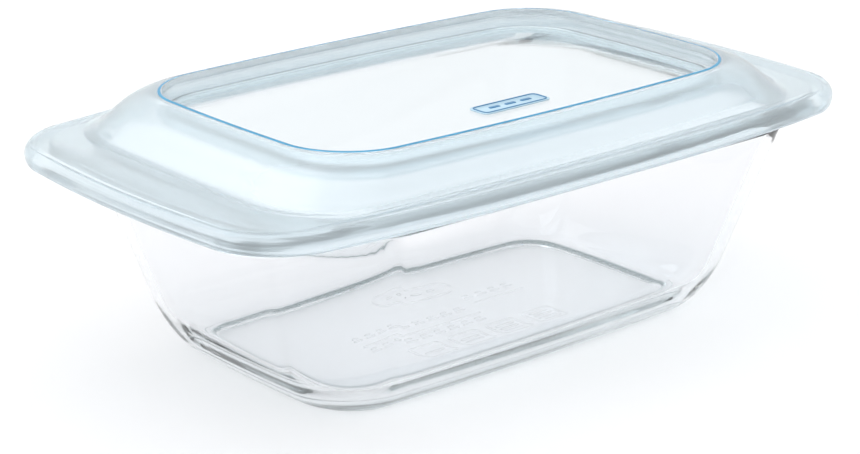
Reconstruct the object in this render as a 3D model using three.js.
// A lidded glass loaf dish, in millimetres, +Z up.
// The origin is on the table, under the middle of the dish. +X runs along the dish.
import * as THREE from 'three';
import { mergeVertices } from 'three/addons/utils/BufferGeometryUtils.js';

// ---------------------------------------------------------------- driving dimensions

// Plan outlines: half length, half width and corner radius of a rounded rectangle.
const FOOT = { a: 81.6, b: 45.4, r: 17 };
const WINDOW = { a: 91.2, b: 55.4, r: 22.5 };
const CREASE = { a: 111.4, b: 68.2, r: 27 };
const LID_EDGE = { a: 134.1, b: 75.9, r: 21 };

// How far the middle of each side stands out past its ends.
const WINDOW_BOW = { x: 1.9, y: 3.1, power: 2 };
const LID_BOW = { x: 4.7, y: 8.7, power: 3 };
const DISH_BOW = { x: 2.2, y: 2.4, power: 2 };
const RIM_BOW = { x: 5.7, y: 8.5, power: 3.5 };

// Heights above the table.
const FOOT_RECESS_Z = 0.8;
const FOOT_TOP_Z = 1.0;
const FLOOR_Z = 5.6;
const HEEL_TOP_Z = 21.2;
const TAB_UNDER_Z = 69.6;
const LIP_Z = 70.0;
const RIM_TOP_Z = 74.7;
const FLANGE_TOP_Z = 77.2;
const PANEL_TOP_Z = 84.0;
const LID_TOP_Z = 90.0;

// Glass.
const WALL = { a: 96.8, b: 59.6, r: 26 };
const WALL_SLOPE = { a: 0.31, b: 0.28, r: 0.12 };
const WALL_THICKNESS = 4.7;
const HEEL_INSET = 8.8;
const HEEL_CORNER_SHARE = 0.7;
const INNER_HEEL_INSET = 11;
const FOOT_RING_WIDTH = 6;
const FOOT_EDGE = 0.6;
const FOOT_RECESS_DRAFT = 0.8;
const TAB_REACH = 128.4;
const TAB_FILLET = 0.6;
const RIM_SIDE = 73.5;
const RIM_ROUND = 1.8;
const RIM_INNER_ROUND = 1;

// Lid.
const SHELL = 1.8;
const SKIRT_THICKNESS = 1.6;
const RECESS_WALL = 1.4;
const RECESS_DRAFT = 0.5;
const RECESS_LIP_ROUND = 0.5;
const LEDGE_WIDTH = 3;
const LEDGE_THICKNESS = 1.5;
const PANEL_THICKNESS = 1.8;
const PANEL_EDGE = 0.4;
const PART_GAP = 0.3;

// The skirt's outer face, from the lip up to the flange: [distance out, height above the lip].
const SKIRT_PROFILE = [[-0.5, 0], [0.2, 0.5], [0.8, 2], [1, 3.7], [0.7, 5.3], [-0.4, 6.7], [-2.6, 7.4]];

// The dome's faces: [share of the way in to the window, distance out, height above the flange].
const DOME_PROFILE = [[0, 3, 0.4], [0, 0.6, 1.2], [0.18, 0.6, 4.1], [0.5, 0.9, 9.2], [0.8, 0.9, 11.9]];
const DOME_UNDERSIDE = [[0.85, -0.4, 9.7], [0.2, -0.8, 1.3], [0, 0, -1.5]];

// Facets.
const HALF_SIDE_STEPS = 5;
const HALF_END_STEPS = 3;
const CORNER_STEPS = 7;
const HEEL_STEPS = 6;

// ---------------------------------------------------------------- outlines and skins

// One quarter of a rounded rectangle, from the middle of the +Y side to the middle of the +X end.
function quarterOutline({ a, b, r }) {
  const points = [];
  for (let i = 0; i < HALF_SIDE_STEPS; i++) {
    points.push([(a - r) * i / HALF_SIDE_STEPS, b]);
  }
  for (let i = 0; i <= CORNER_STEPS; i++) {
    const turn = Math.PI / 2 * i / CORNER_STEPS;
    points.push([a - r + r * Math.sin(turn), b - r + r * Math.cos(turn)]);
  }
  for (let i = 1; i < HALF_END_STEPS; i++) {
    points.push([a, (b - r) * (1 - i / HALF_END_STEPS)]);
  }
  return points;
}

// Draws the corners in so that each side bows out in its middle.
function bowed([x, y], { a, b }, bow) {
  const alongX = Math.abs(x / a) ** bow.power;
  const alongY = (y / b) ** 2;
  return [x * (1 - bow.x / a * alongY), y * (1 - bow.y / b * alongX)];
}

// A closed ring of points at height z, anticlockwise seen from above.
function ring(shape, bow, z) {
  const quarter = quarterOutline(shape).map((point) => bowed(point, shape, bow));
  const half = [...quarter, [shape.a, 0], ...quarter.slice(1).reverse().map(([x, y]) => [x, -y])];
  const whole = [...half, [0, -shape.b], ...half.slice(1).reverse().map(([x, y]) => [-x, y])];
  return whole.reverse().map(([x, y]) => new THREE.Vector3(x, y, z));
}

function grown({ a, b, r }, by) {
  return { a: a + by, b: b + by, r: Math.max(r + by, 2) };
}

// Skins a list of rings. A capped skin is closed by a flat fan at each end, and the
// other kind by joining the last ring back to the first.
function skin(rings, capped) {
  const count = rings[0].length;
  const points = rings.flat();
  const faces = [];
  const bands = capped ? rings.length - 1 : rings.length;
  for (let i = 0; i < bands; i++) {
    const low = i * count;
    const high = ((i + 1) % rings.length) * count;
    for (let j = 0; j < count; j++) {
      const next = (j + 1) % count;
      faces.push(low + j, low + next, high + next, low + j, high + next, high + j);
    }
  }
  if (capped) {
    const last = (rings.length - 1) * count;
    const start = points.push(new THREE.Vector3(0, 0, rings[0][0].z)) - 1;
    const end = points.push(new THREE.Vector3(0, 0, rings[rings.length - 1][0].z)) - 1;
    for (let j = 0; j < count; j++) {
      const next = (j + 1) % count;
      faces.push(start, next, j, end, last + j, last + next);
    }
  }
  const geometry = new THREE.BufferGeometry().setFromPoints(points);
  geometry.setIndex(faces);
  const merged = mergeVertices(geometry);
  merged.computeVertexNormals();
  return merged;
}

// ---------------------------------------------------------------- glass dish

function wallShape(z) {
  const rise = z - HEEL_TOP_Z;
  return {
    a: WALL.a + WALL_SLOPE.a * rise,
    b: WALL.b + WALL_SLOPE.b * rise,
    r: WALL.r + WALL_SLOPE.r * rise,
  };
}

// The wall's outline where the heel has curved in by a quarter of an ellipse.
function heelShape(z, lowZ, inset) {
  const drop = Math.min((HEEL_TOP_Z - z) / (HEEL_TOP_Z - lowZ), 1);
  const pull = inset * (1 - Math.sqrt(1 - drop * drop));
  const { a, b, r } = wallShape(z);
  return { a: a - pull, b: b - pull, r: r - pull * HEEL_CORNER_SHARE };
}

function heelRings(lowZ, inset, offset) {
  const rings = [];
  for (let i = 0; i < HEEL_STEPS; i++) {
    const turn = Math.PI / 2 * i / HEEL_STEPS;
    const z = HEEL_TOP_Z - (HEEL_TOP_Z - lowZ) * Math.cos(turn);
    rings.push(ring(grown(heelShape(z, lowZ, inset), offset), DISH_BOW, z));
  }
  return rings;
}

function glassDish() {
  const rim = { a: TAB_REACH, b: RIM_SIDE, r: LID_EDGE.r };
  const rimUnderside = { ...rim, a: TAB_REACH - RIM_ROUND };
  const inner = (z) => grown(wallShape(z), -WALL_THICKNESS);
  const rings = [
    ring(grown(FOOT, -FOOT_RING_WIDTH), DISH_BOW, FOOT_RECESS_Z),
    ring(grown(FOOT, FOOT_RECESS_DRAFT - FOOT_RING_WIDTH), DISH_BOW, 0),
    ring(grown(FOOT, -FOOT_EDGE), DISH_BOW, 0),
    ring(FOOT, DISH_BOW, FOOT_TOP_Z / 2),
    ...heelRings(FOOT_TOP_Z, HEEL_INSET, 0),
    ring(wallShape(HEEL_TOP_Z), DISH_BOW, HEEL_TOP_Z),
    ring(wallShape(TAB_UNDER_Z - TAB_FILLET), DISH_BOW, TAB_UNDER_Z - TAB_FILLET),
    ring(rimUnderside, RIM_BOW, TAB_UNDER_Z),
    ring(rim, RIM_BOW, TAB_UNDER_Z + RIM_ROUND),
    ring(rim, RIM_BOW, RIM_TOP_Z - RIM_ROUND),
    ring(grown(rim, -RIM_ROUND * 0.3), RIM_BOW, RIM_TOP_Z - RIM_ROUND * 0.3),
    ring(grown(rim, -RIM_ROUND), RIM_BOW, RIM_TOP_Z),
    ring(grown(inner(RIM_TOP_Z), RIM_INNER_ROUND), DISH_BOW, RIM_TOP_Z),
    ring(inner(RIM_TOP_Z - RIM_INNER_ROUND), DISH_BOW, RIM_TOP_Z - RIM_INNER_ROUND),
    ring(inner(HEEL_TOP_Z), DISH_BOW, HEEL_TOP_Z),
    ...heelRings(FLOOR_Z, INNER_HEEL_INSET, -WALL_THICKNESS).reverse(),
  ];
  return skin(rings, true);
}

// ---------------------------------------------------------------- lid

// Outlines between the crease at the foot of the dome and its top edge.
function domeShape(share, offset) {
  const mix = (from, to) => from + (to - from) * share;
  return grown({
    a: mix(CREASE.a, WINDOW.a),
    b: mix(CREASE.b, WINDOW.b),
    r: mix(CREASE.r, WINDOW.r),
  }, offset);
}

function lidSurround() {
  const edge = (out, z) => ring(grown(LID_EDGE, out), LID_BOW, z);
  const recess = (out, z) => ring(grown(WINDOW, out), WINDOW_BOW, z);
  const dome = ([share, out, height]) => ring(domeShape(share, out), WINDOW_BOW, FLANGE_TOP_Z + height);
  const recessFoot = -RECESS_LIP_ROUND - RECESS_DRAFT;
  const ledgeTop = PANEL_TOP_Z - PANEL_THICKNESS - PART_GAP;
  const ledgeUnder = ledgeTop - LEDGE_THICKNESS;
  const flangeUnder = FLANGE_TOP_Z - SHELL;
  const rings = [
    edge(-SKIRT_THICKNESS, LIP_Z),
    ...SKIRT_PROFILE.map(([out, height]) => edge(out, LIP_Z + height)),
    ...DOME_PROFILE.map(dome),
    recess(RECESS_LIP_ROUND, LID_TOP_Z - RECESS_LIP_ROUND / 2),
    recess(0, LID_TOP_Z),
    recess(-RECESS_LIP_ROUND, LID_TOP_Z - RECESS_LIP_ROUND),
    recess(recessFoot, ledgeTop),
    recess(recessFoot - LEDGE_WIDTH, ledgeTop),
    recess(recessFoot - LEDGE_WIDTH, ledgeUnder),
    recess(recessFoot + RECESS_WALL, ledgeUnder),
    recess(recessFoot + RECESS_WALL + RECESS_DRAFT, LID_TOP_Z - 2 * SHELL),
    ...DOME_UNDERSIDE.map(dome),
    edge(-SKIRT_THICKNESS - SHELL, flangeUnder),
    edge(-SKIRT_THICKNESS, flangeUnder - SHELL),
  ];
  return skin(rings, false);
}

function lidWindow() {
  const outline = (out) => grown(WINDOW, out - RECESS_LIP_ROUND - RECESS_DRAFT - PART_GAP);
  const rings = [
    ring(outline(-PANEL_EDGE), WINDOW_BOW, PANEL_TOP_Z - PANEL_THICKNESS),
    ring(outline(0), WINDOW_BOW, PANEL_TOP_Z - PANEL_THICKNESS + PANEL_EDGE),
    ring(outline(0), WINDOW_BOW, PANEL_TOP_Z - PANEL_EDGE),
    ring(outline(-PANEL_EDGE), WINDOW_BOW, PANEL_TOP_Z),
  ];
  return skin(rings, true);
}

// ---------------------------------------------------------------- scene

function piece(name, geometry, material) {
  const mesh = new THREE.Mesh(geometry, material);
  mesh.name = name;
  return mesh;
}

const glass = new THREE.MeshStandardMaterial({
  color: 0xe6efee, roughness: 0.05, metalness: 0, transparent: true, opacity: 0.35,
});
const frosted = new THREE.MeshStandardMaterial({
  color: 0xcfe3ee, roughness: 0.5, metalness: 0, transparent: true, opacity: 0.85,
});
const clear = new THREE.MeshStandardMaterial({
  color: 0xeaf6fa, roughness: 0.08, metalness: 0, transparent: true, opacity: 0.4,
});

const dish = new THREE.Group();
dish.add(piece('glass_dish', glassDish(), glass));

const lid = new THREE.Group();
lid.add(piece('lid_surround', lidSurround(), frosted));
lid.add(piece('lid_window', lidWindow(), clear));

const loafDish = new THREE.Group();
loafDish.add(dish, lid);

export default loafDish;
